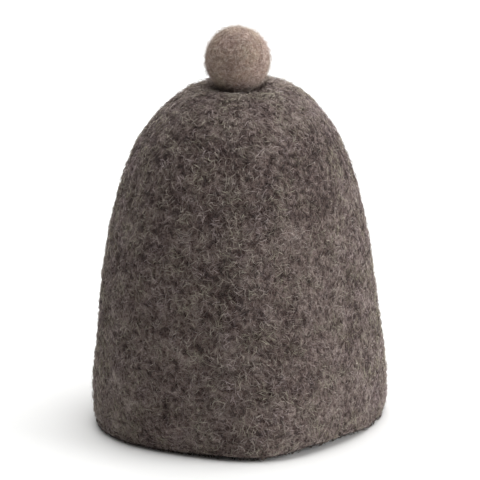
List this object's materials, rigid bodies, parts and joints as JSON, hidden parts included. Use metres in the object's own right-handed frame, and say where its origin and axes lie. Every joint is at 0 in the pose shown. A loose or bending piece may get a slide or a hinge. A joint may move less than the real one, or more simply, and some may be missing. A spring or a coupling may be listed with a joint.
{
  "type": "egg cosy",
  "caption": "Seamless felted wool cover with a tall rounded crown, an open, slightly drawn-in hem and a felt ball on top, set over a boiled egg in its cup to keep it warm.",
  "frame": {"origin": "on the table, below the middle of the cosy's box", "axes": "+Z from the hem up to the ball, -Y towards the front"},
  "size_m": [0.075, 0.0752, 0.1],
  "materials": {
    "grey_brown_wool_felt": "matte, mottled wool felt with loose fibres",
    "beige_wool_felt": "matte, firm wool felt"
  },
  "bodies": {
    "root": {"felt_dome": "grey_brown_wool_felt", "felt_ball": "beige_wool_felt"}
  },
  "joints": []
}
